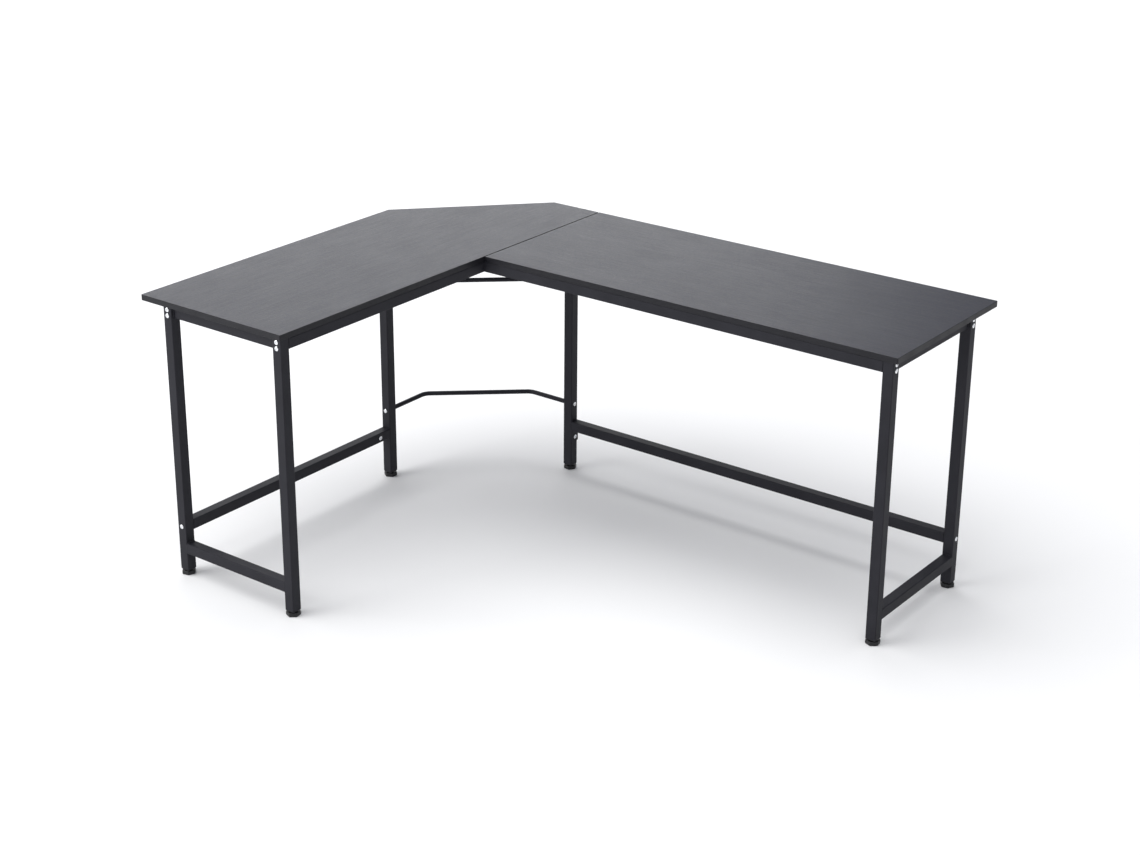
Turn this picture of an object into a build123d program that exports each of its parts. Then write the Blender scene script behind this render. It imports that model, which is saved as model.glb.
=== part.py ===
from build123d import *
import os

# Corner desk: two boards butted into an L on a bolted frame of square steel tube.
# Millimetres. +X runs along the long right wing, +Y to the back, +Z up.
# The origin is on the floor, in the middle of the desk's outline.

# ---- overall sizes -------------------------------------------------------------------
overall_width = 1680.0
overall_depth = 1250.0
overall_height = 740.0
left_wing_width = 475.0
right_wing_depth = 500.0

# ---- boards --------------------------------------------------------------------------
board_thickness = 15.0
board_corner = 2.5
band_thickness = 1.0
band_rounding = 0.7
seam_gap = 2.5
corner_cut_across = 320.0
corner_cut_back = 340.0

# ---- frame ---------------------------------------------------------------------------
tube_size = 28.0
tube_wall = 1.2
tube_corner = 2.5
front_inset = 1.0
left_end_overhang = 2.5
right_end_overhang = 10.0
left_rear_overhang = 75.0
right_rear_overhang = 90.0
corner_leg_setback = 28.0
top_rail_recess = 8.0
foot_rail_height = 62.0
stretcher_height = 121.0
brace_diameter = 12.7
brace_bend_radius = 34.0
lower_brace_height = 200.0
upper_brace_height = 540.0
brace_left_run = 140.0
brace_right_run = 127.0

# ---- bolts, screws and what they go into -----------------------------------------------
bolt_diameter = 6.0
bolt_head_diameter = 12.0
bolt_head_height = 2.5
bolt_head_rim = 0.8
socket_flats = 4.0
socket_depth = 1.5
bolt_spacing = 15.5
bolt_hole_clearance = 0.3
drill_overrun = 1.0
thread_clearance = 0.05
same_place = 0.01
bolt_past_plate = 6.0
nut_plate_thickness = 4.0
nut_plate_clearance = 0.1
brace_thread_depth = 22.0
brace_bolt_grip = 16.0
tongue_length = 56.0
tongue_height = 20.0
tongue_thickness = 5.0
tongue_screw_setback = 40.0
tab_thickness = 2.5
tab_drop = 34.0
tab_screw_drop = 20.0
tab_screw_length = 14.0
rivet_nut_diameter = 9.0
rivet_nut_length = 11.0
rivet_nut_bulge = 12.5
rivet_nut_bulge_length = 3.0
board_screw_diameter = 4.0
board_screw_length = 12.0
board_screw_head_diameter = 7.6
board_screw_head_height = 2.4
board_screw_bottom_gap = 1.0
board_screw_head_rounding = 0.8
board_screw_end_setback = 70.0
access_hole_diameter = 9.5

# ---- levelling glides ------------------------------------------------------------------
glide_height = 15.0
pad_height = 11.0
pad_flats = 33.0
pad_corner = 3.0
pad_chamfer = 1.5
pad_neck_diameter = 20.0
insert_lip_thickness = 1.5
insert_lip_inset = 0.5
insert_lip_corner = 4.0
insert_depth = 20.0
insert_clearance = 0.15
stem_diameter = 8.0
stem_length = 38.0
stem_head_flats = 13.0
stem_head_height = 5.0
stem_head_recess = 1.0
stem_tip_chamfer = 0.8
stem_clearance = 0.05
insert_nut_height = 6.5
nut_pocket_clearance = 0.1

# ---- places that follow from the sizes ---------------------------------------------------
left_x = -overall_width / 2
right_x = overall_width / 2
front_y = -overall_depth / 2
back_y = overall_depth / 2
inner_x = left_x + left_wing_width
inner_y = back_y - right_wing_depth
board_underside = overall_height - board_thickness
half_tube = tube_size / 2
tube_bore = tube_size - 2 * tube_wall
top_rail_size = tube_size - top_rail_recess

# The boards hang over the outer faces of the end frames by at least the height of a bolt's head.
left_end_y = front_y + left_end_overhang + half_tube
right_end_x = right_x - right_end_overhang - half_tube
left_front_x = inner_x - front_inset - half_tube
left_rear_x = left_x + left_rear_overhang + half_tube
right_front_y = inner_y + front_inset + half_tube
right_rear_y = back_y - right_rear_overhang - half_tube
corner_leg_y = inner_y + corner_leg_setback + half_tube

apron_z = board_underside - half_tube
apron_bolt_heights = [apron_z - bolt_spacing / 2, apron_z + bolt_spacing / 2]
stretcher_z = stretcher_height + half_tube
foot_rail_z = foot_rail_height + half_tube
brace_heights = [lower_brace_height, upper_brace_height]
tab_screw_z = stretcher_height - tab_screw_drop

leg_places = {
    "left_end_rear": (left_rear_x, left_end_y),
    "left_end_front": (left_front_x, left_end_y),
    "corner_left": (left_rear_x, corner_leg_y),
    "corner_right": (left_front_x, right_rear_y),
    "right_end_front": (right_end_x, right_front_y),
    "right_end_rear": (right_end_x, right_rear_y),
}

left_board_outline = [
    (left_x, front_y),
    (inner_x, front_y),
    (inner_x, back_y),
    (left_x + corner_cut_across, back_y),
    (left_x, back_y - corner_cut_back),
]
right_board_outline = [
    (inner_x + seam_gap, inner_y),
    (right_x, inner_y),
    (right_x, back_y),
    (inner_x + seam_gap, back_y),
]

# Each pad rests at the angle that its thread left it at, in degrees.
pad_turns = {
    "left_end_rear": 12.0,
    "left_end_front": 40.0,
    "corner_left": 27.0,
    "corner_right": 52.0,
    "right_end_front": -21.0,
    "right_end_rear": 5.0,
}

faces = {
    "-X": (-1, 0, 0),
    "+X": (1, 0, 0),
    "-Y": (0, -1, 0),
    "+Y": (0, 1, 0),
    "-Z": (0, 0, -1),
    "+Z": (0, 0, 1),
}


def looking(direction, x, y, z):
    """A plane at a point, whose normal points the way that is named."""
    return Plane(origin=(x, y, z), z_dir=faces[direction])


def on_leg(leg, direction, z):
    """The plane on one outer face of a leg, centred on the leg, at a height."""
    x, y = leg_places[leg]
    outward = faces[direction]
    return looking(direction, x + outward[0] * half_tube, y + outward[1] * half_tube, z)


def spread(first, last, count):
    """Evenly spaced places from first to last."""
    return [first + (last - first) * step / (count - 1) for step in range(count)]


# ---- boards and their edge bands -----------------------------------------------------------
def outline(points, inset):
    """A board's outline with eased corners, drawn in by an even inset."""
    with BuildSketch() as shape:
        with BuildLine():
            Polyline(*points, close=True)
        make_face()
        fillet(shape.vertices(), board_corner)
        if inset > 0:
            offset(amount=-inset, mode=Mode.REPLACE)
    return shape


def board(points, screw_places):
    """The coated chipboard core, with pilot holes for its screws in the underside."""
    core_outline = outline(points, band_thickness)
    with BuildPart() as core:
        with BuildSketch(Plane.XY.offset(board_underside)):
            add(core_outline.sketch)
        extrude(amount=board_thickness)
        with Locations(*[looking("-Z", x, y, board_underside) for x, y in screw_places]):
            Hole(board_screw_diameter / 2 + thread_clearance, board_screw_length)
    return core


def edge_band(points):
    """The plastic band that goes round a board's edge."""
    outer = outline(points, 0)
    inner = outline(points, band_thickness)
    with BuildPart() as band:
        with BuildSketch(Plane.XY.offset(board_underside)):
            add(outer.sketch)
            add(inner.sketch, mode=Mode.SUBTRACT)
        extrude(amount=board_thickness)
        top_edges = band.faces().sort_by(Axis.Z)[-1].outer_wire().edges()
        fillet(top_edges, band_rounding)
        bottom_edges = band.faces().filter_by(Axis.Z).sort_by(Axis.Z)[0].outer_wire().edges()
        fillet(bottom_edges, band_rounding)
    return band


left_front_screws = [
    (left_front_x, y)
    for y in spread(left_end_y + board_screw_end_setback, right_rear_y - board_screw_end_setback, 4)
]
left_rear_screws = [
    (left_rear_x, y)
    for y in spread(left_end_y + board_screw_end_setback, corner_leg_y - board_screw_end_setback, 3)
]
right_front_screws = [
    (x, right_front_y)
    for x in spread(inner_x + board_screw_end_setback, right_end_x - board_screw_end_setback, 4)
]
right_rear_screws = [
    (x, right_rear_y)
    for x in spread(inner_x + board_screw_end_setback, right_end_x - board_screw_end_setback, 4)
]
left_screws = left_front_screws + left_rear_screws
right_screws = right_front_screws + right_rear_screws

left_desktop = board(left_board_outline, left_screws)
right_desktop = board(right_board_outline, right_screws)
left_edge_band = edge_band(left_board_outline)
right_edge_band = edge_band(right_board_outline)


# ---- tubes -----------------------------------------------------------------------------------
def square_tube(start, end, across=tube_size, up=tube_size):
    """A welded tube from one point to another, level or upright, with its seam not shown."""
    run = Vector(*end) - Vector(*start)
    sideways = (0, 1, 0) if abs(run.Y) < abs(run.X) else (1, 0, 0)
    with BuildPart() as tube:
        with BuildSketch(Plane(origin=start, x_dir=sideways, z_dir=run.normalized())):
            RectangleRounded(across, up, tube_corner)
            RectangleRounded(
                across - 2 * tube_wall, up - 2 * tube_wall, tube_corner - tube_wall, mode=Mode.SUBTRACT
            )
        extrude(amount=run.length)
    return tube


def drilled(tube, planes, diameter, depth):
    """The same tube with a round hole drilled in from each plane."""
    with BuildPart() as result:
        add(tube.part)
        with Locations(*planes):
            Hole(diameter / 2, depth)
    return result


bolt_hole = bolt_diameter + 2 * bolt_hole_clearance
through_tube = tube_size + drill_overrun
one_wall = half_tube

# Every bolt is named by the plane under its head. It runs inward from there.
apron_bolts_at = (
    [on_leg("left_end_rear", "-Y", z) for z in apron_bolt_heights]
    + [on_leg("left_end_front", "-Y", z) for z in apron_bolt_heights]
    + [on_leg("corner_left", "+Y", z) for z in apron_bolt_heights]
    + [on_leg("corner_right", "+Y", z) for z in apron_bolt_heights]
    + [on_leg("corner_right", "-X", apron_z)]
    + [on_leg("right_end_front", "+X", z) for z in apron_bolt_heights]
    + [on_leg("right_end_rear", "+X", z) for z in apron_bolt_heights]
)
tee_bolts_at = [looking("-X", left_front_x - half_tube, right_front_y, z) for z in apron_bolt_heights]
stretcher_bolts_at = [
    on_leg("left_end_rear", "-Y", stretcher_z),
    on_leg("right_end_rear", "+X", stretcher_z),
]
brace_bolts_at = [on_leg("corner_left", "-Y", z) for z in brace_heights] + [
    on_leg("corner_right", "+X", z) for z in brace_heights
]
through_bolts_at = apron_bolts_at + tee_bolts_at + stretcher_bolts_at + brace_bolts_at
tongue_screw_at = looking(
    "+X", left_rear_x + half_tube, corner_leg_y - half_tube - tongue_screw_setback, stretcher_z
)
tab_face_x = left_front_x + half_tube
tab_screw_at = looking("+X", tab_face_x + tab_thickness, right_rear_y, tab_screw_z)


def near(plane, x, y):
    """True where a plane's centre lies on the tube that stands at x, y, or on its face."""
    reach = half_tube + same_place
    return abs(plane.origin.X - x) <= reach and abs(plane.origin.Y - y) <= reach


legs = {}
for leg, (x, y) in leg_places.items():
    upright = square_tube((x, y, glide_height), (x, y, board_underside))
    own_bolts = [plane for plane in through_bolts_at if plane not in tee_bolts_at and near(plane, x, y)]
    if own_bolts:
        upright = drilled(upright, own_bolts, bolt_hole, through_tube)
    legs[leg] = upright
legs["corner_right"] = drilled(
    legs["corner_right"],
    [looking("+X", tab_face_x, right_rear_y, tab_screw_z)],
    rivet_nut_diameter + 2 * bolt_hole_clearance,
    one_wall,
)

left_end_top_rail = square_tube(
    (left_rear_x + half_tube, left_end_y + top_rail_recess / 2, apron_z),
    (left_front_x - half_tube, left_end_y + top_rail_recess / 2, apron_z),
    across=top_rail_size,
)
right_end_top_rail = square_tube(
    (right_end_x - top_rail_recess / 2, right_front_y + half_tube, apron_z),
    (right_end_x - top_rail_recess / 2, right_rear_y - half_tube, apron_z),
    across=top_rail_size,
)
left_end_foot_rail = square_tube(
    (left_rear_x + half_tube, left_end_y, foot_rail_z),
    (left_front_x - half_tube, left_end_y, foot_rail_z),
)
right_end_foot_rail = square_tube(
    (right_end_x, right_front_y + half_tube, foot_rail_z),
    (right_end_x, right_rear_y - half_tube, foot_rail_z),
)


def apron(start, end, screw_places, bolts_across):
    """A tube under the boards: screws go up through it, and its lower wall has a hole for the driver."""
    tube = square_tube(start, end)
    upper = [looking("-Z", x, y, board_underside) for x, y in screw_places]
    lower = [looking("-Z", x, y, apron_z - half_tube) for x, y in screw_places]
    clear_shank = board_screw_diameter + 2 * bolt_hole_clearance
    with BuildPart() as result:
        add(tube.part)
        with Locations(*[plane.offset(half_tube) for plane in upper]):
            Hole(clear_shank / 2, half_tube)
        with Locations(*lower):
            Hole(access_hole_diameter / 2, half_tube)
        if bolts_across:
            with Locations(*bolts_across):
                Hole(bolt_hole / 2, through_tube)
    return result


left_front_apron = apron(
    (left_front_x, left_end_y + half_tube, apron_z),
    (left_front_x, right_rear_y - half_tube, apron_z),
    left_front_screws,
    tee_bolts_at,
)
left_rear_apron = apron(
    (left_rear_x, left_end_y + half_tube, apron_z),
    (left_rear_x, corner_leg_y - half_tube, apron_z),
    left_rear_screws,
    [],
)
right_front_apron = apron(
    (left_front_x + half_tube, right_front_y, apron_z),
    (right_end_x - half_tube, right_front_y, apron_z),
    right_front_screws,
    [],
)
right_rear_apron = apron(
    (left_front_x + half_tube, right_rear_y, apron_z),
    (right_end_x - half_tube, right_rear_y, apron_z),
    right_rear_screws,
    [],
)

left_stretcher_tube = square_tube(
    (left_rear_x, left_end_y + half_tube, stretcher_z),
    (left_rear_x, corner_leg_y - half_tube, stretcher_z),
)
left_stretcher = drilled(left_stretcher_tube, [tongue_screw_at], bolt_hole, one_wall)
right_stretcher = square_tube(
    (tab_face_x + tab_thickness, right_rear_y, stretcher_z),
    (right_end_x - half_tube, right_rear_y, stretcher_z),
)


# ---- bent braces behind the corner -------------------------------------------------------------
def corner_brace(z):
    """A bent round bar from the back of the left corner leg to the side of the right one."""
    start = (left_rear_x, corner_leg_y + half_tube)
    end = (left_front_x - half_tube, right_rear_y)
    first_bend = (start[0], start[1] + brace_left_run)
    second_bend = (end[0] - brace_right_run, end[1])
    with BuildPart() as brace:
        with BuildLine(Plane.XY.offset(z)) as route:
            FilletPolyline(start, first_bend, second_bend, end, radius=brace_bend_radius)
        with BuildSketch(Plane(origin=route.line @ 0, z_dir=route.line % 0)):
            Circle(brace_diameter / 2)
        sweep()
        with Locations(looking("-Y", *start, z), looking("+X", *end, z)):
            Hole(bolt_diameter / 2 + thread_clearance, brace_thread_depth)
    return brace


lower_corner_brace = corner_brace(lower_brace_height)
upper_corner_brace = corner_brace(upper_brace_height)


# ---- welded plates, tongue and tab ---------------------------------------------------------------
def nut_plate(hole_offsets):
    """A tapped plate welded inside the end of a tube, drawn flat and facing +Z."""
    side = tube_bore - 2 * nut_plate_clearance
    with BuildPart() as plate:
        with BuildSketch():
            RectangleRounded(side, side, tube_corner - tube_wall)
            with Locations(*[(0, offset_up) for offset_up in hole_offsets]):
                Circle(bolt_diameter / 2 + thread_clearance, mode=Mode.SUBTRACT)
        extrude(amount=-nut_plate_thickness)
    return plate


def group(piece, planes):
    """Copies of one piece, each standing on its own plane."""
    with BuildPart() as copies:
        with Locations(*planes):
            add(piece.part)
    return copies


def end_of_tube(direction, x, y, z):
    """The plane across a level tube's end: it faces out of the tube, and its Y axis is up."""
    outward = Vector(*faces[direction])
    return Plane(origin=(x, y, z), x_dir=Vector(0, 0, 1).cross(outward), z_dir=outward)


double_plate = nut_plate([-bolt_spacing / 2, bolt_spacing / 2])
single_plate = nut_plate([0])
apron_nut_plates = group(
    double_plate,
    [
        end_of_tube("-Y", left_rear_x, left_end_y + half_tube, apron_z),
        end_of_tube("-Y", left_front_x, left_end_y + half_tube, apron_z),
        end_of_tube("+Y", left_rear_x, corner_leg_y - half_tube, apron_z),
        end_of_tube("+Y", left_front_x, right_rear_y - half_tube, apron_z),
        end_of_tube("-X", left_front_x + half_tube, right_front_y, apron_z),
        end_of_tube("+X", right_end_x - half_tube, right_front_y, apron_z),
        end_of_tube("+X", right_end_x - half_tube, right_rear_y, apron_z),
    ],
)
single_nut_plates = group(
    single_plate,
    [
        end_of_tube("-X", left_front_x + half_tube, right_rear_y, apron_z),
        end_of_tube("-Y", left_rear_x, left_end_y + half_tube, stretcher_z),
        end_of_tube("+X", right_end_x - half_tube, right_rear_y, stretcher_z),
    ],
)

tongue_outer_x = left_rear_x + half_tube - tube_wall - nut_plate_clearance
tongue_middle_x = tongue_outer_x - tongue_thickness / 2
with BuildPart() as stretcher_tongue:
    with BuildSketch(end_of_tube("-Y", tongue_middle_x, corner_leg_y - half_tube, stretcher_z)):
        Rectangle(tongue_thickness, tongue_height)
    extrude(amount=tongue_length)
    with Locations(looking("+X", tongue_outer_x, tongue_screw_at.origin.Y, stretcher_z)):
        Hole(bolt_diameter / 2 + thread_clearance, tongue_thickness)

tab_top = stretcher_height + tube_size
tab_bottom = stretcher_height - tab_drop
with BuildPart() as stretcher_tab:
    with BuildSketch(end_of_tube("+X", tab_face_x, right_rear_y, (tab_top + tab_bottom) / 2)):
        RectangleRounded(tube_size, tab_top - tab_bottom, tube_corner)
    extrude(amount=tab_thickness)
    with Locations(tab_screw_at):
        Hole(bolt_hole / 2, tab_thickness)

with BuildPart() as tab_rivet_nut:
    with BuildSketch(looking("-X", tab_face_x, right_rear_y, tab_screw_z)):
        Circle(rivet_nut_diameter / 2)
        Circle(bolt_diameter / 2 + thread_clearance, mode=Mode.SUBTRACT)
    extrude(amount=rivet_nut_length)
    with BuildSketch(looking("-X", tab_face_x - tube_wall, right_rear_y, tab_screw_z)):
        Circle(rivet_nut_bulge / 2)
        Circle(bolt_diameter / 2 + thread_clearance, mode=Mode.SUBTRACT)
    extrude(amount=rivet_nut_bulge_length)


# ---- bolts and screws ------------------------------------------------------------------------------
def bolt(shank_length):
    """A domed bolt with a hexagon socket, its head above Z = 0 and its shank below."""
    with BuildPart() as fastener:
        with BuildSketch(Plane.XZ):
            with BuildLine():
                Polyline(
                    (0, bolt_head_height),
                    (0, -shank_length),
                    (bolt_diameter / 2, -shank_length),
                    (bolt_diameter / 2, 0),
                    (bolt_head_diameter / 2, 0),
                    (bolt_head_diameter / 2, bolt_head_rim),
                )
                TangentArc((0, bolt_head_height), (bolt_head_diameter / 2, bolt_head_rim), tangent=(1, 0))
            make_face()
        revolve(axis=Axis.Z)
        with BuildSketch(Plane.XY.offset(bolt_head_height)):
            RegularPolygon(socket_flats / 2, 6, major_radius=False)
        extrude(amount=-socket_depth, mode=Mode.SUBTRACT)
    return fastener


frame_bolt = bolt(tube_size + nut_plate_thickness + bolt_past_plate)
apron_bolts = group(frame_bolt, apron_bolts_at)
tee_joint_bolts = group(frame_bolt, tee_bolts_at)
stretcher_bolts = group(frame_bolt, stretcher_bolts_at)
brace_bolts = group(bolt(tube_size + brace_bolt_grip), brace_bolts_at)
stretcher_screws = group(bolt(tab_screw_length), [tongue_screw_at, tab_screw_at])

with BuildPart() as board_screw:
    with BuildSketch():
        Circle(board_screw_diameter / 2)
    extrude(amount=tube_wall + board_screw_length - board_screw_bottom_gap)
    with BuildSketch():
        Circle(board_screw_head_diameter / 2)
    extrude(amount=-board_screw_head_height)
    fillet(board_screw.faces().sort_by(Axis.Z)[0].edges(), board_screw_head_rounding)

under_upper_wall = board_underside - tube_wall
left_board_screws = group(board_screw, [looking("+Z", x, y, under_upper_wall) for x, y in left_screws])
right_board_screws = group(board_screw, [looking("+Z", x, y, under_upper_wall) for x, y in right_screws])


# ---- levelling glides ---------------------------------------------------------------------------------
lip_underside = glide_height - insert_lip_thickness
insert_top = glide_height + insert_depth
nut_seat = insert_top - insert_nut_height
stem_bore = stem_diameter + 2 * stem_clearance


def glide_insert(x, y):
    """The plastic plug in a leg's lower end, with a pocket for its nut."""
    plug = tube_bore - 2 * insert_clearance
    lip = tube_size - 2 * insert_lip_inset
    with BuildPart() as insert:
        with BuildSketch(looking("+Z", x, y, lip_underside)):
            RectangleRounded(lip, lip, insert_lip_corner)
        extrude(amount=insert_lip_thickness)
        with BuildSketch(looking("+Z", x, y, glide_height)):
            RectangleRounded(plug, plug, tube_corner - tube_wall)
        extrude(amount=insert_depth)
        with BuildSketch(looking("+Z", x, y, nut_seat)):
            RegularPolygon(stem_head_flats / 2 + nut_pocket_clearance, 6, major_radius=False)
        extrude(amount=insert_nut_height, mode=Mode.SUBTRACT)
        with Locations(looking("+Z", x, y, insert_top)):
            Hole(stem_bore / 2)
    return insert


def glide_pad(x, y, turn):
    """The six-sided foot, turned by hand, with a neck that stops against the plug."""
    floor = looking("+Z", x, y, 0).rotated((0, 0, turn))
    with BuildPart() as pad:
        with BuildSketch(floor) as base:
            RegularPolygon(pad_flats / 2, 6, major_radius=False)
            fillet(base.vertices(), pad_corner)
        extrude(amount=pad_height)
        chamfer(pad.faces().sort_by(Axis.Z)[0].edges(), pad_chamfer)
        fillet(pad.faces().sort_by(Axis.Z)[-1].edges(), pad_chamfer / 2)
        with BuildSketch(looking("+Z", x, y, pad_height)):
            Circle(pad_neck_diameter / 2)
        extrude(amount=lip_underside - pad_height)
        with BuildSketch(floor):
            RegularPolygon(stem_head_flats / 2 + nut_pocket_clearance, 6, major_radius=False)
        extrude(amount=stem_head_recess + stem_head_height, mode=Mode.SUBTRACT)
        with Locations(looking("+Z", x, y, lip_underside)):
            Hole(stem_bore / 2)
    return pad


def glide_stem(x, y, turn):
    """The hexagon bolt that joins a pad to its nut."""
    with BuildPart() as stem:
        with BuildSketch(looking("+Z", x, y, stem_head_recess).rotated((0, 0, turn))):
            RegularPolygon(stem_head_flats / 2, 6, major_radius=False)
        extrude(amount=stem_head_height)
        with BuildSketch(looking("+Z", x, y, stem_head_recess + stem_head_height)):
            Circle(stem_diameter / 2)
        extrude(amount=stem_length)
        chamfer(stem.faces().sort_by(Axis.Z)[-1].edges(), stem_tip_chamfer)
    return stem


with BuildPart() as insert_nut:
    with BuildSketch():
        RegularPolygon(stem_head_flats / 2, 6, major_radius=False)
        Circle(stem_bore / 2, mode=Mode.SUBTRACT)
    extrude(amount=insert_nut_height)

insert_nuts = group(insert_nut, [looking("+Z", x, y, nut_seat) for x, y in leg_places.values()])

# ---- every piece by name ---------------------------------------------------------------------------------
pieces = {
    "left_desktop": left_desktop,
    "right_desktop": right_desktop,
    "left_edge_band": left_edge_band,
    "right_edge_band": right_edge_band,
    "left_end_top_rail": left_end_top_rail,
    "right_end_top_rail": right_end_top_rail,
    "left_end_foot_rail": left_end_foot_rail,
    "right_end_foot_rail": right_end_foot_rail,
    "left_front_apron": left_front_apron,
    "left_rear_apron": left_rear_apron,
    "right_front_apron": right_front_apron,
    "right_rear_apron": right_rear_apron,
    "left_stretcher": left_stretcher,
    "right_stretcher": right_stretcher,
    "lower_corner_brace": lower_corner_brace,
    "upper_corner_brace": upper_corner_brace,
    "apron_nut_plates": apron_nut_plates,
    "single_nut_plates": single_nut_plates,
    "stretcher_tongue": stretcher_tongue,
    "stretcher_tab": stretcher_tab,
    "tab_rivet_nut": tab_rivet_nut,
    "apron_bolts": apron_bolts,
    "tee_joint_bolts": tee_joint_bolts,
    "stretcher_bolts": stretcher_bolts,
    "brace_bolts": brace_bolts,
    "stretcher_screws": stretcher_screws,
    "left_board_screws": left_board_screws,
    "right_board_screws": right_board_screws,
    "insert_nuts": insert_nuts,
}
for leg, (x, y) in leg_places.items():
    pieces[leg + "_leg"] = legs[leg]
    pieces[leg + "_insert"] = glide_insert(x, y)
    pieces[leg + "_glide_pad"] = glide_pad(x, y, pad_turns[leg])
    pieces[leg + "_glide_stem"] = glide_stem(x, y, pad_turns[leg])

os.makedirs("parts", exist_ok=True)
for name, piece in pieces.items():
    piece.part.label = name
    export_step(piece.part, f"parts/{name}.step")
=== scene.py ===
import math

import bpy
from mathutils import Matrix, Vector


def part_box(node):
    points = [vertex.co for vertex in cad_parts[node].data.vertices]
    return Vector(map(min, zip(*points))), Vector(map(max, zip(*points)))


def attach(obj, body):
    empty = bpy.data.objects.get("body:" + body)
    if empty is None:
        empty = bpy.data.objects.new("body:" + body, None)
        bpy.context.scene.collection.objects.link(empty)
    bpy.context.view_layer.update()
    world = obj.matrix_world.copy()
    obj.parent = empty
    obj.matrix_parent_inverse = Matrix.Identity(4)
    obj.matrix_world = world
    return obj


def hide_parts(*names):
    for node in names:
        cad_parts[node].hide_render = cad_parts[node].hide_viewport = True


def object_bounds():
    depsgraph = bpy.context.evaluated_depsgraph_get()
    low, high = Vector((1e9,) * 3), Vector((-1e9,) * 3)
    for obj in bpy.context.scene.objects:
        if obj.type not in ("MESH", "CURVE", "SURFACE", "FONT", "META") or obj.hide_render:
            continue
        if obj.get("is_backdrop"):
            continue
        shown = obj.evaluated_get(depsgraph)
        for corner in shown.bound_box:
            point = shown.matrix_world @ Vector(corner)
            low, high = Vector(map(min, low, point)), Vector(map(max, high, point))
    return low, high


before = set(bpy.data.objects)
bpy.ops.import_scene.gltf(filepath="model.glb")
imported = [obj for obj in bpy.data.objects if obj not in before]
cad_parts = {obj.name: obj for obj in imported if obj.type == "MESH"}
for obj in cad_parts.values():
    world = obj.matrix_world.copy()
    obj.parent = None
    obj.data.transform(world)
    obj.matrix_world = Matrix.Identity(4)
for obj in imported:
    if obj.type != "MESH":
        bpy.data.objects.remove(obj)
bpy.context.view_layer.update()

# A corner desk: two foil-coated boards on a bolted frame of powder-coated square tube.
# Metres. +X runs along the long right wing, +Y to the back, +Z up.

MM = 0.001

LEGS = (
    "left_end_rear",
    "left_end_front",
    "corner_left",
    "corner_right",
    "right_end_front",
    "right_end_rear",
)

# ---- sizes of the pieces made here ---------------------------------------------------
X, Y = 0, 1
AROUND = 36                 # points round a bolt or a stem
FINE_EDGE_ANGLE = 32        # degrees: sharper edges of a bolt or a stem stay crisp
PAD_EDGE_ANGLE = 38
WELD_EDGE_ANGLE = 40

BOLT_HEAD_DIAMETER = 12 * MM
BOLT_HEAD_HEIGHT = 2.5 * MM
BOLT_RIM_HEIGHT = 0.8 * MM
BOLT_RIM_STEP = 0.05 * MM
BOLT_RIM_ROUNDING = 0.15 * MM
DOME_FLATNESS = 0.96        # 1 would bring the dome down to the rim's height at its edge
DOME_RINGS = (0.45, 0.55, 0.65, 0.75, 0.84, 0.91, 0.96, 0.99)   # shares of the head's radius
SOCKET_FLATS = 4 * MM
SOCKET_DEPTH = 1.5 * MM
SOCKET_FLOOR_FLATS = SOCKET_FLATS * 0.97
SOCKET_FLOOR_ROUNDING = 0.1 * MM
SOCKET_CHAMFER = 0.15 * MM
SOCKET_MOUTH_ROUNDNESS = 0.3
SOCKET_TURN = 0.7           # radians from one bolt's socket to the next one's
DRILL_POINT_WIDTH = 0.2 * SOCKET_FLATS
DRILL_POINT_DEPTH = 0.25 * MM
BOLT_SHANK = 6 * MM
BOLT_SHANK_FILLET = 0.2 * MM
BOLT_PITCH = 1 * MM
BOLT_THREAD = 14 * MM
HEAD_ONLY_REACH = 0.7 * BOLT_SHANK      # only a head's points lie this far from the axis
ROUNDED_CORNER = 1.05       # radius of a fully rounded hexagon, as a share of half its flats

THREAD_DEPTH = 0.61         # a share of the pitch
THREAD_FLANK = 2.6          # steepness of a flank: above 2, the crest has a flat
THREAD_ROWS = 6             # rings in one pitch

STEM_PITCH = 1.25 * MM
STEM_SHANK = 8 * MM
STEM_FLATS = 13 * MM
STEM_HEAD = 5 * MM
STEM_CHAMFER = 0.5 * MM
STEM_CHAMFER_FLATS = STEM_FLATS * 0.94
STEM_CHAMFER_ROUNDNESS = 0.8
STEM_PLAIN_LENGTH = 0.3 * MM

PAD_FLATS = 33 * MM
PAD_CORNER = 3 * MM
CORNER_CUT = 0.155          # what rounding takes off a hexagon's corner, as a share of its radius
CORNER_BLEND = 0.1          # where the rounding starts, as a share of its radius
CORNER_BLEND_STRENGTH = 2.2
NECK_ROUNDING = 0.4 * MM

TUBE_CORNER = 2.5 * MM
WELD_LEG = 3.2 * MM
WELD_RIPPLE = 1.9 * MM      # from one ripple of a bead to the next
WELD_RIPPLE_RINGS = 4
WELD_RIPPLE_HEIGHT = 0.09   # a share of the bead's size
WELD_RIPPLE_LEAN = 0.35     # how far a ripple bows along the bead, as a share of its spacing
WELD_SECTION_STEPS = 8
WELD_SINK = 0.08            # how far a bead's back lies inside the steel, as a share of its legs
WELD_TIP = 0.1              # size of a bead's very end, as a share of its full size
LEVEL_WELD_INSET = 0.6 * TUBE_CORNER
GROUND_WELD_WIDTH = 4.5 * MM
GROUND_WELD_HEIGHT = 0.22 * MM

# ---- studio ------------------------------------------------------------------------------
FLOOR_REACH = 40
FLOOR_COLOUR = "#f0f0f0"
OVERHEAD_STRENGTH = 2.7
OVERHEAD_SPREAD = 75        # degrees of sky that the soft overhead light fills
OVERHEAD_LEAN = (12, -10)   # degrees from straight down, about X and about Y
SKY_COLOUR = "#eef1fb"
SKY_STRENGTH = 0.3

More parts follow.
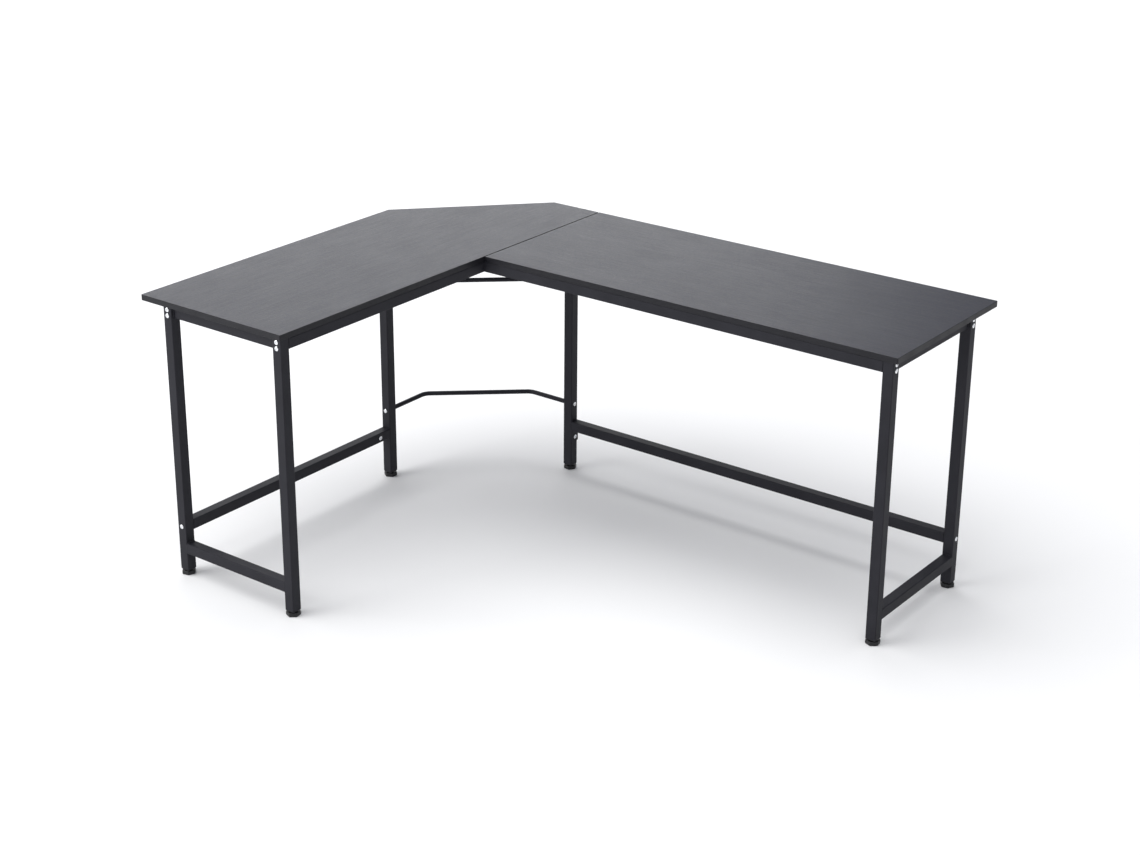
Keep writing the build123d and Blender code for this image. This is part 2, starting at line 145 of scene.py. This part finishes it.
# ---- camera ----------------------------------------------------------------------------
CAMERA_PLACE = (2.868, -3.803, 2.402)
CAMERA_TURN = 37.96         # degrees
CAMERA_DIP = 21.26          # degrees below the level
CAMERA_LENS = 65.15         # millimetres, like the sensor's width
CAMERA_SENSOR = 36
CAMERA_SHIFT = (0.0302, -0.0501)

camera = bpy.data.objects.new("camera", bpy.data.cameras.new("camera"))
bpy.context.scene.collection.objects.link(camera)
camera.location = CAMERA_PLACE
camera.rotation_euler = (math.radians(90 - CAMERA_DIP), 0, math.radians(CAMERA_TURN))
camera.data.sensor_width = CAMERA_SENSOR
camera.data.lens = CAMERA_LENS
camera.data.shift_x, camera.data.shift_y = CAMERA_SHIFT
camera.data.dof.use_dof = False
bpy.context.scene.camera = camera


# ---- materials -------------------------------------------------------------------------
NOISE_LOW, NOISE_HIGH = 0.3, 0.7        # nearly all of a noise lies between these values
LONG_GRAIN = 14             # how many times as long as wide the boards' grain is
SCUFF_HEIGHT = 5 * MM
# The sockets of a mix of two colours, by their numbers: its share, its colours and its result.
COLOUR_SHARE, FIRST_COLOUR, SECOND_COLOUR, MIXED_COLOUR = 0, 6, 7, 2


def linear(hex_colour):
    """An sRGB hex colour as linear red, green and blue, with full opacity."""
    shares = [int(hex_colour[place:place + 2], 16) / 255 for place in (1, 3, 5)]
    return [s / 12.92 if s <= 0.04045 else ((s + 0.055) / 1.055) ** 2.4 for s in shares] + [1]


def add(tree, kind, settings=None, links=None):
    """Adds a node. A setting or a link named for one of its sockets goes there."""
    node = tree.nodes.new(kind)
    for name, value in (settings or {}).items():
        if isinstance(name, int) or name in node.inputs:
            node.inputs[name].default_value = value
        else:
            setattr(node, name, value)
    for name, source in (links or {}).items():
        tree.links.new(source, node.inputs[name])
    return node


def surface(name, settings):
    """A material with one principled shader. Returns it, its tree and its shader."""
    material = bpy.data.materials.new(name)
    material.use_nodes = True
    tree = material.node_tree
    shader = tree.nodes["Principled BSDF"]
    for socket, value in settings.items():
        shader.inputs[socket].default_value = value
    return material, tree, shader


def speckle(tree, size, stretch=(1, 1, 1), detail=2.0, roughness=0.5):
    """Noise whose spots are about size metres across, drawn out by stretch along each axis."""
    place = add(tree, "ShaderNodeTexCoord")
    scale = [1 / (size * long) for long in stretch]
    mapped = add(tree, "ShaderNodeMapping", {"Scale": scale}, {"Vector": place.outputs["Object"]})
    noise = add(
        tree,
        "ShaderNodeTexNoise",
        {"Scale": 1.0, "Detail": detail, "Roughness": roughness},
        {"Vector": mapped.outputs["Vector"]},
    )
    return noise.outputs["Fac"]


def layered(tree, *layers):
    """The sum of several patterns, each of them spread over its own low to high value."""
    total = None
    for pattern, low, high in layers:
        spread = add(
            tree,
            "ShaderNodeMapRange",
            {"From Min": NOISE_LOW, "From Max": NOISE_HIGH, "To Min": low, "To Max": high},
            {"Value": pattern},
        ).outputs["Result"]
        if total is None:
            total = spread
        else:
            total = add(tree, "ShaderNodeMath", {"operation": "ADD"}, {0: total, 1: spread}).outputs[0]
    return total


def foil_coated_chipboard(name, stretch):
    """Chipboard under a black printed foil: matt, with a faint embossed grain along its length."""
    material, tree, shader = surface(name, {"IOR": 1.5, "Specular IOR Level": 0.4})
    # The real pores are about 0.3 mm wide, and the stipple under 1 mm. Both are drawn several
    # times as wide, to show at all.
    pores = speckle(tree, 2.2 * MM, stretch, detail=3.0, roughness=0.6)
    stipple = speckle(tree, 4.5 * MM, roughness=0.7)
    fibres = speckle(tree, 7 * MM, stretch)
    clouds = speckle(tree, 120 * MM)
    colour = add(
        tree,
        "ShaderNodeMix",
        {"data_type": "RGBA", FIRST_COLOUR: linear("#101116"), SECOND_COLOUR: linear("#363742")},
        {COLOUR_SHARE: layered(tree, (pores, 0, 0.4), (stipple, 0, 0.7))},
    )
    tree.links.new(colour.outputs[MIXED_COLOUR], shader.inputs["Base Color"])
    gloss = layered(
        tree,
        (pores, 0.435, 0.485),
        (fibres, -0.022, 0.022),
        (stipple, -0.07, 0.07),
        (clouds, -0.01, 0.01),
    )
    tree.links.new(gloss, shader.inputs["Roughness"])
    relief = add(
        tree, "ShaderNodeMath", {"operation": "ADD"}, {0: pores, 1: layered(tree, (stipple, 0, 1.6))}
    )
    bump = add(
        tree, "ShaderNodeBump", {"Strength": 0.5, "Distance": 0.16 * MM}, {"Height": relief.outputs[0]}
    )
    tree.links.new(bump.outputs["Normal"], shader.inputs["Normal"])
    return material


def extruded_edge_band():
    """Black plastic band, extruded and ironed on: darker and smoother than the foil, lightly lined."""
    material, tree, shader = surface("extruded_plastic_edge_band", {"IOR": 1.5, "Specular IOR Level": 0.25})
    lines = speckle(tree, 1.2 * MM, (14, 14, 1))
    blotches = speckle(tree, 40 * MM)
    colour = add(
        tree,
        "ShaderNodeMix",
        {"data_type": "RGBA", FIRST_COLOUR: linear("#17171c"), SECOND_COLOUR: linear("#202025")},
        {COLOUR_SHARE: layered(tree, (lines, 0, 1))},
    )
    tree.links.new(colour.outputs[MIXED_COLOUR], shader.inputs["Base Color"])
    tree.links.new(layered(tree, (blotches, 0.42, 0.52)), shader.inputs["Roughness"])
    bump = add(tree, "ShaderNodeBump", {"Strength": 0.2, "Distance": 0.05 * MM}, {"Height": lines})
    tree.links.new(bump.outputs["Normal"], shader.inputs["Normal"])
    return material


def powder_coated_steel():
    """Steel tube sprayed with black powder and baked: satin, with the ripple of orange peel."""
    material, tree, shader = surface("powder_coated_steel", {"IOR": 1.5, "Specular IOR Level": 0.22})
    peel = speckle(tree, 1.6 * MM, detail=1.5)
    # The real grit is under 0.1 mm. It is drawn coarser, to show in the gloss.
    grit = speckle(tree, 0.5 * MM)
    clouds = speckle(tree, 60 * MM)
    colour = add(
        tree,
        "ShaderNodeMix",
        {"data_type": "RGBA", FIRST_COLOUR: linear("#202026"), SECOND_COLOUR: linear("#28282e")},
        {COLOUR_SHARE: layered(tree, (clouds, 0, 1))},
    )
    tree.links.new(colour.outputs[MIXED_COLOUR], shader.inputs["Base Color"])
    tree.links.new(layered(tree, (clouds, 0.56, 0.64), (grit, -0.03, 0.03)), shader.inputs["Roughness"])
    relief = add(tree, "ShaderNodeMath", {"operation": "MULTIPLY_ADD", 1: 0.3}, {0: grit, 2: peel})
    bump = add(
        tree, "ShaderNodeBump", {"Strength": 0.4, "Distance": 0.06 * MM}, {"Height": relief.outputs[0]}
    )
    tree.links.new(bump.outputs["Normal"], shader.inputs["Normal"])
    return material


def zinc_plated_steel():
    """Cold-headed steel, barrel-plated with bright zinc: pale, faintly blue, with fine tumbling marks."""
    material, tree, shader = surface("zinc_plated_steel", {"Metallic": 1.0})
    # The real marks are hair-fine. They are drawn coarser, to show close up.
    marks = speckle(tree, 0.35 * MM, (1, 1, 5), detail=3.0)
    stains = speckle(tree, 4 * MM)
    colour = add(
        tree,
        "ShaderNodeMix",
        {"data_type": "RGBA", FIRST_COLOUR: linear("#dde0e6"), SECOND_COLOUR: linear("#f2f2f1")},
        {COLOUR_SHARE: layered(tree, (stains, 0, 1))},
    )
    tree.links.new(colour.outputs[MIXED_COLOUR], shader.inputs["Base Color"])
    tree.links.new(layered(tree, (marks, 0.18, 0.32)), shader.inputs["Roughness"])
    bump = add(tree, "ShaderNodeBump", {"Strength": 0.3, "Distance": 0.02 * MM}, {"Height": marks})
    tree.links.new(bump.outputs["Normal"], shader.inputs["Normal"])
    return material


def moulded_polypropylene():
    """Black polypropylene from a spark-eroded mould: dull and fine-grained, scuffed near the floor."""
    material, tree, shader = surface("moulded_polypropylene", {"IOR": 1.49, "Specular IOR Level": 0.45})
    # The real grain is about 0.1 mm. It is drawn coarser, to show close up.
    grain = speckle(tree, 0.6 * MM)
    scuffs = speckle(tree, 3 * MM, (3, 3, 0.5), detail=4.0, roughness=0.7)
    place = add(tree, "ShaderNodeTexCoord")
    height = add(tree, "ShaderNodeSeparateXYZ", links={"Vector": place.outputs["Object"]})
    low_down = add(
        tree,
        "ShaderNodeMapRange",
        {"From Min": 0, "From Max": SCUFF_HEIGHT, "To Min": 1, "To Max": 0},
        {"Value": height.outputs["Z"]},
    )
    rubbed = add(
        tree,
        "ShaderNodeMapRange",
        {"From Min": 0.45, "From Max": 0.7, "To Min": 0, "To Max": 1},
        {"Value": scuffs},
    )
    worn = add(
        tree,
        "ShaderNodeMath",
        {"operation": "MULTIPLY"},
        {0: low_down.outputs["Result"], 1: rubbed.outputs["Result"]},
    )
    colour = add(
        tree,
        "ShaderNodeMix",
        {"data_type": "RGBA", FIRST_COLOUR: linear("#161618"), SECOND_COLOUR: linear("#3a3a3b")},
        {COLOUR_SHARE: worn.outputs[0]},
    )
    tree.links.new(colour.outputs[MIXED_COLOUR], shader.inputs["Base Color"])
    gloss = add(
        tree,
        "ShaderNodeMapRange",
        {"From Min": 0, "From Max": 1, "To Min": 0.45, "To Max": 0.62},
        {"Value": worn.outputs[0]},
    )
    tree.links.new(gloss.outputs["Result"], shader.inputs["Roughness"])
    bump = add(tree, "ShaderNodeBump", {"Strength": 0.5, "Distance": 0.05 * MM}, {"Height": grain})
    tree.links.new(bump.outputs["Normal"], shader.inputs["Normal"])
    return material


left_foil = foil_coated_chipboard("foil_coated_chipboard_left", (1, LONG_GRAIN, 1))
right_foil = foil_coated_chipboard("foil_coated_chipboard_right", (LONG_GRAIN, 1, 1))
band = extruded_edge_band()
powder_coat = powder_coated_steel()
zinc = zinc_plated_steel()
plastic = moulded_polypropylene()

board_finishes = {
    "left_desktop": left_foil,
    "right_desktop": right_foil,
    "left_edge_band": band,
    "right_edge_band": band,
}
for name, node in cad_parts.items():
    if name in board_finishes:
        finish = board_finishes[name]
    elif name.endswith(("bolts", "screws", "nuts", "stem", "rivet_nut")):
        finish = zinc
    elif name.endswith(("insert", "pad")):
        finish = plastic
    else:
        finish = powder_coat
    node.data.materials.clear()
    node.data.materials.append(finish)


# ---- mesh building ---------------------------------------------------------------------
def skin(rings):
    """Points and faces of a closed skin over rings of equally many points."""
    count = len(rings[0])
    points = [point for ring in rings for point in ring]
    faces = []
    for row in range(len(rings) - 1):
        for step in range(count):
            a = row * count + step
            b = row * count + (step + 1) % count
            faces.append((a, b, b + count, a + count))
    faces.append(tuple(reversed(range(count))))
    faces.append(tuple(range(len(points) - count, len(points))))
    return points, faces


def piece(name, shells, material, body, edge_angle):
    """One object from several shells, riding on a body. Edges sharper than edge_angle stay crisp."""
    points, faces = [], []
    for shell_points, shell_faces in shells:
        start = len(points)
        points += shell_points
        faces += [[corner + start for corner in face] for face in shell_faces]
    mesh = bpy.data.meshes.new(name)
    mesh.from_pydata(points, [], faces)
    mesh.validate()
    mesh.shade_smooth()
    mesh.set_sharp_from_angle(angle=math.radians(edge_angle))
    mesh.materials.append(material)
    made = bpy.data.objects.new(name, mesh)
    bpy.context.scene.collection.objects.link(made)
    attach(made, body)
    return made


# ---- weld beads ------------------------------------------------------------------------
def weld(start, end, first, second, sweep=90):
    """A rippled bead from start to end. Its section runs from the vector first round to second."""
    start, end, first, second = (Vector(v) for v in (start, end, first, second))
    run = end - start
    count = max(int(run.length / (WELD_RIPPLE / WELD_RIPPLE_RINGS)), WELD_RIPPLE_RINGS)
    size = max(first.length, second.length)
    rings = []
    for place in range(count + 1):
        along = place / count
        from_end = min(along, 1 - along) * run.length
        rounding = math.sqrt(max(1 - (1 - min(from_end / size, 1)) ** 2, 0))
        swell = rounding * (1 - WELD_TIP) + WELD_TIP
        ripple = 1 + WELD_RIPPLE_HEIGHT * math.sin(2 * math.pi * along * run.length / WELD_RIPPLE)
        middle = start + run * along
        ring = [middle - (first + second) * WELD_SINK]
        for step in range(WELD_SECTION_STEPS + 1):
            angle = math.radians(sweep * step / WELD_SECTION_STEPS)
            bow = math.sin(math.pi * step / WELD_SECTION_STEPS) * WELD_RIPPLE * WELD_RIPPLE_LEAN
            reach = (first * math.cos(angle) + second * math.sin(angle)) * swell * ripple
            ring.append(middle + reach + run.normalized() * bow)
        rings.append(ring)
    return skin(rings)


def level_welds(rail, rail_along, has_top_beads):
    """Beads at both ends of a rail, across its underside and, if nothing lies on it, its top."""
    low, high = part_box(rail)
    across = 1 - rail_along
    sides = [(low.z, -1)]
    if has_top_beads:
        sides.insert(0, (high.z, 1))
    shells = []
    for end_place, inward in ((low[rail_along], 1), (high[rail_along], -1)):
        out_along = Vector((0, 0, 0))
        out_along[rail_along] = inward * WELD_LEG
        for height, up in sides:
            start, end = Vector((0, 0, height)), Vector((0, 0, height))
            start[rail_along] = end[rail_along] = end_place
            start[across] = low[across] + LEVEL_WELD_INSET
            end[across] = high[across] - LEVEL_WELD_INSET
            shells.append(weld(start, end, out_along, (0, 0, up * WELD_LEG)))
    return shells


def upright_welds(rail, rail_along, outer_side, recessed):
    """Upright beads at a rail's ends: a full bead in the recess outside, a ground one where it is flush."""
    low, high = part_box(rail)
    across = 1 - rail_along
    shells = []
    for end_place, inward in ((low[rail_along], 1), (high[rail_along], -1)):
        for face_place, outward in ((low[across], -1), (high[across], 1)):
            start, end = Vector((0, 0, low.z + TUBE_CORNER)), Vector((0, 0, high.z - TUBE_CORNER))
            start[rail_along] = end[rail_along] = end_place
            start[across] = end[across] = face_place
            first, second = Vector((0, 0, 0)), Vector((0, 0, 0))
            if recessed and outward == outer_side:
                first[rail_along] = inward * WELD_LEG
                second[across] = outward * WELD_LEG
                shells.append(weld(start, end, first, second))
            else:
                first[rail_along] = GROUND_WELD_WIDTH / 2
                second[across] = outward * GROUND_WELD_HEIGHT
                shells.append(weld(start, end, first, second, sweep=180))
    return shells


for rail, rail_along, outer_side, is_top in (
    ("left_end_top_rail", X, -1, True),
    ("left_end_foot_rail", X, -1, False),
    ("right_end_top_rail", Y, 1, True),
    ("right_end_foot_rail", Y, 1, False),
):
    shells = level_welds(rail, rail_along, has_top_beads=not is_top)
    shells += upright_welds(rail, rail_along, outer_side, recessed=is_top)
    piece(rail + "_welds", shells, powder_coat, "desk", WELD_EDGE_ANGLE)


# ---- bolts -----------------------------------------------------------------------------
def circle(radius, height):
    """A level ring of points."""
    turns = [2 * math.pi * step / AROUND for step in range(AROUND)]
    return [Vector((radius * math.cos(t), radius * math.sin(t), height)) for t in turns]


def hexagon(flats, height, roundness=0.0):
    """A level six-sided ring of points, drawn towards a circle by roundness, from 0 to 1."""
    ring = []
    for step in range(AROUND):
        turn = 2 * math.pi * step / AROUND
        off_flat = (turn + math.pi / 6) % (math.pi / 3) - math.pi / 6
        radius = flats / 2 / math.cos(off_flat)
        radius += (flats / 2 * ROUNDED_CORNER - radius) * roundness
        ring.append(Vector((radius * math.cos(turn), radius * math.sin(turn), height)))
    return ring


def thread(diameter, pitch, top, bottom):
    """Rings of a screw thread, from top to bottom, whose crests fade out at both ends."""
    depth = THREAD_DEPTH * pitch
    count = int(abs(top - bottom) / pitch * THREAD_ROWS)
    rings = []
    for row in range(count + 1):
        height = top + (bottom - top) * row / count
        to_end = min(abs(height - bottom), abs(height - top))
        ring = []
        for step in range(AROUND):
            turn = 2 * math.pi * step / AROUND
            wave = (height / pitch - step / AROUND) % 1
            crest = min(1, THREAD_FLANK * abs(wave - 0.5))
            radius = diameter / 2 - depth * (1 - crest)
            radius = min(radius, diameter / 2 - depth + to_end)
            ring.append(Vector((radius * math.cos(turn), radius * math.sin(turn), height)))
        rings.append(ring)
    return rings


def bolt_rings(length):
    """A domed bolt with a hexagon socket, from the socket's floor over the head to the shank's end."""
    head = BOLT_HEAD_DIAMETER / 2
    shank = BOLT_SHANK / 2
    dome = BOLT_HEAD_HEIGHT - BOLT_RIM_HEIGHT
    socket_floor = BOLT_HEAD_HEIGHT - SOCKET_DEPTH

    def dome_height(radius):
        return BOLT_RIM_HEIGHT + dome * math.sqrt(max(1 - (radius / head) ** 2 * DOME_FLATNESS, 0))

    socket_mouth = dome_height(SOCKET_FLATS / 2)
    socket = [
        circle(DRILL_POINT_WIDTH / 2, socket_floor - DRILL_POINT_DEPTH),
        hexagon(SOCKET_FLOOR_FLATS, socket_floor),
        hexagon(SOCKET_FLATS, socket_floor + SOCKET_FLOOR_ROUNDING),
        hexagon(SOCKET_FLATS, socket_mouth - SOCKET_CHAMFER),
        hexagon(SOCKET_FLATS + 2 * SOCKET_CHAMFER, socket_mouth, SOCKET_MOUTH_ROUNDNESS),
    ]
    dome_rings = [circle(head * share, dome_height(head * share)) for share in DOME_RINGS]
    rim_and_shank = [
        circle(head, BOLT_RIM_HEIGHT + BOLT_RIM_STEP),
        circle(head, BOLT_RIM_ROUNDING),
        circle(head - BOLT_RIM_ROUNDING, 0),
        circle(shank + BOLT_SHANK_FILLET, 0),
        circle(shank, -BOLT_SHANK_FILLET),
        circle(shank, BOLT_THREAD - length),
    ]
    threaded_end = thread(BOLT_SHANK, BOLT_PITCH, BOLT_THREAD - length, -length)
    return socket + dome_rings + rim_and_shank + threaded_end


def solids_of(node):
    """The points of each of a node's separate solids, found from the faces that join them."""
    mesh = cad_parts[node].data
    numbers = {}
    number_of = [
        numbers.setdefault(tuple(round(c, 6) for c in vertex.co), len(numbers)) for vertex in mesh.vertices
    ]
    linked = list(range(len(numbers)))

    def first_of(number):
        while linked[number] != number:
            linked[number] = linked[linked[number]]
            number = linked[number]
        return number

    for polygon in mesh.polygons:
        start = first_of(number_of[polygon.vertices[0]])
        for corner in polygon.vertices[1:]:
            linked[first_of(number_of[corner])] = start
    solids = {}
    for vertex in mesh.vertices:
        solids.setdefault(first_of(number_of[vertex.index]), []).append(vertex.co.copy())
    # They are put in the order of their middles, so that it is the same in every run.
    return sorted(
        solids.values(), key=lambda points: tuple(round(sum(c) / len(points), 4) for c in zip(*points))
    )


def box_of(points):
    """Lowest and highest corner of some points."""
    return Vector(map(min, zip(*points))), Vector(map(max, zip(*points)))


def bolt_group(node):
    """Finer bolts in the places of a node's own, each with its socket turned its own way."""
    shells = []
    for count, solid in enumerate(solids_of(node)):
        low, high = box_of(solid)
        size, middle = high - low, (low + high) / 2
        along = max(range(3), key=lambda axis: size[axis])
        head_points = [p for p in solid if abs((p - middle)[along - 1]) > HEAD_ONLY_REACH]
        outward = 1 if sum(p[along] - middle[along] for p in head_points) > 0 else -1
        axis, seat = Vector((0, 0, 0)), middle.copy()
        axis[along] = outward
        seat[along] = (high[along] if outward > 0 else low[along]) - outward * BOLT_HEAD_HEIGHT
        facing = axis.to_track_quat("Z", "Y").to_matrix().to_4x4()
        placed = Matrix.Translation(seat) @ facing @ Matrix.Rotation(count * SOCKET_TURN, 4, "Z")
        points, faces = skin(bolt_rings(size[along] - BOLT_HEAD_HEIGHT))
        shells.append(([placed @ point for point in points], faces))
    bolts = piece(node + "_threaded", shells, zinc, "desk", FINE_EDGE_ANGLE)
    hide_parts(node)


for node in ("apron_bolts", "tee_joint_bolts", "stretcher_bolts", "brace_bolts", "stretcher_screws"):
    bolt_group(node)


# ---- levelling glides --------------------------------------------------------------------
def stem_rings(length):
    """The hexagon bolt of a glide, its head at the bottom and its thread to the top."""
    head = [
        hexagon(STEM_CHAMFER_FLATS, 0, STEM_CHAMFER_ROUNDNESS),
        hexagon(STEM_FLATS, STEM_CHAMFER),
        hexagon(STEM_FLATS, STEM_HEAD - STEM_CHAMFER),
        hexagon(STEM_CHAMFER_FLATS, STEM_HEAD, STEM_CHAMFER_ROUNDNESS),
        circle(STEM_SHANK / 2, STEM_HEAD),
    ]
    return head + thread(STEM_SHANK, STEM_PITCH, STEM_HEAD + STEM_PLAIN_LENGTH, length)


def rounded_hexagon(flats, height):
    """A level six-sided ring of points with a pad's rounded corners."""
    ring = []
    limit = flats / math.sqrt(3) - PAD_CORNER * CORNER_CUT
    for step in range(AROUND * 2):
        turn = math.pi * step / AROUND
        off_flat = (turn + math.pi / 6) % (math.pi / 3) - math.pi / 6
        radius = flats / 2 / math.cos(off_flat)
        past = max(radius - limit + PAD_CORNER * CORNER_BLEND, 0)
        radius = min(radius - past ** 2 / PAD_CORNER * CORNER_BLEND_STRENGTH, limit)
        ring.append(Vector((radius * math.cos(turn), radius * math.sin(turn), height)))
    return ring


def round_ring(radius, height):
    """A level ring with as many points as a pad's outline."""
    turns = [math.pi * step / AROUND for step in range(AROUND * 2)]
    return [Vector((radius * math.cos(t), radius * math.sin(t), height)) for t in turns]


def six_sided(*profile):
    """Six-sided rings of a pad. Each is given by what its flats lose and by its height, in millimetres."""
    return [rounded_hexagon(PAD_FLATS - loss * MM, height * MM) for loss, height in profile]


def turned(*profile):
    """Round rings of a pad. Each is given by its radius and by its height, in millimetres."""
    return [round_ring(radius * MM, height * MM) for radius, height in profile]


def pad_rings(top):
    """A moulded foot, from its hollow underside round its edge to the neck that meets the leg's plug."""
    hollow = turned((4.3, 6.2), (8, 6.2), (8.2, 2.2)) + six_sided((7, 2.0), (6, 0.4))
    sole = six_sided((5.4, 0), (3.2, 0), (2.2, 0.25), (1.1, 1.0))
    lower_side = six_sided((0.5, 1.9), (0.25, 3.0), (0.2, 4.8))
    # The mould's two halves meet in a fine ridge.
    ridge = six_sided((0.2, 5.1), (0.0, 5.3), (0.0, 5.5), (0.2, 5.7))
    upper_side = six_sided((0.5, 8.9), (0.7, 9.7))
    shoulder = six_sided((1.2, 10.4), (2.0, 10.85), (3.0, 11.0), (4.2, 11.0), (5.2, 10.6))
    neck_foot = turned((11.6, 10.5), (10.7, 10.6), (10.1, 11.1), (10, 11.8))
    neck_top = [round_ring(10 * MM, top - NECK_ROUNDING), round_ring(9.7 * MM, top)]
    stem_hole = [round_ring(4.05 * MM, top)]
    return hollow + sole + lower_side + ridge + upper_side + shoulder + neck_foot + neck_top + stem_hole


for leg in LEGS:
    stem_node, pad_node, body = leg + "_glide_stem", leg + "_glide_pad", leg + "_glide"
    low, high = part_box(stem_node)
    pad_low, pad_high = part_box(pad_node)
    middle = (low + high) / 2
    # The hexagon's turn is read from the point furthest from its middle, which is at a corner.
    node_points = [vertex.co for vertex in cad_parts[pad_node].data.vertices]
    furthest = max(node_points, key=lambda p: (p - middle).to_2d().length)
    turn = math.atan2(furthest.y - middle.y, furthest.x - middle.x) + math.pi / 6
    placed = Matrix.Translation((middle.x, middle.y, low.z)) @ Matrix.Rotation(turn, 4, "Z")
    points, faces = skin(stem_rings(high.z - low.z))
    stem_shell = ([placed @ p for p in points], faces)
    stem = piece(leg + "_threaded_stem", [stem_shell], zinc, body, FINE_EDGE_ANGLE)
    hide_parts(stem_node)
    placed = Matrix.Translation((middle.x, middle.y, 0)) @ Matrix.Rotation(turn, 4, "Z")
    points, faces = skin(pad_rings(pad_high.z))
    pad_shell = ([placed @ p for p in points], faces)
    pad = piece(leg + "_moulded_pad", [pad_shell], plastic, body, PAD_EDGE_ANGLE)
    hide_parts(pad_node)

# ---- floor and light -------------------------------------------------------------------
floor_mesh = bpy.data.meshes.new("studio_floor")
floor_corners = [
    (x * FLOOR_REACH, y * FLOOR_REACH, 0) for x, y in ((-1, -1), (1, -1), (1, 1), (-1, 1))
]
floor_mesh.from_pydata(floor_corners, [], [(0, 1, 2, 3)])
floor = bpy.data.objects.new("studio_floor", floor_mesh)
bpy.context.scene.collection.objects.link(floor)
# Matt floor paint, rolled on: even and nearly white, with hardly any sheen.
floor_paint = surface(
    "matt_studio_floor_paint",
    {"Base Color": linear(FLOOR_COLOUR), "Roughness": 0.9, "Specular IOR Level": 0.1},
)[0]
floor_mesh.materials.append(floor_paint)
floor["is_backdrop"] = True


def softbox(name, place, aim, width, height, watts):
    """A large soft light that the camera doesn't see."""
    lamp = bpy.data.lights.new(name, "AREA")
    lamp.shape = "RECTANGLE"
    lamp.size, lamp.size_y = width, height
    lamp.energy = watts
    held = bpy.data.objects.new(name, lamp)
    bpy.context.scene.collection.objects.link(held)
    held.location = place
    held.rotation_euler = (Vector(aim) - Vector(place)).to_track_quat("-Z", "Y").to_euler()
    held.visible_camera = False


softbox("front_left_softbox", place=(-3.5, -4.5, 2.6), aim=(0, 0, 0.4), width=3.5, height=2.5, watts=134)
softbox("back_left_panel", place=(-5.7, 5.5, 2.7), aim=(0, 0, 0.7), width=6.6, height=3.5, watts=170)

overhead = bpy.data.lights.new("overhead_diffuser", "SUN")
overhead.energy = OVERHEAD_STRENGTH
overhead.angle = math.radians(OVERHEAD_SPREAD)
overhead_holder = bpy.data.objects.new("overhead_diffuser", overhead)
bpy.context.scene.collection.objects.link(overhead_holder)
overhead_holder.rotation_euler = (*map(math.radians, OVERHEAD_LEAN), 0)

world = bpy.data.worlds.new("studio")
bpy.context.scene.world = world
world.use_nodes = True
sky = world.node_tree.nodes["Background"]
sky.inputs["Color"].default_value = linear(SKY_COLOUR)
sky.inputs["Strength"].default_value = SKY_STRENGTH
bpy.context.scene.view_settings.view_transform = "Standard"

low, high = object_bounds()
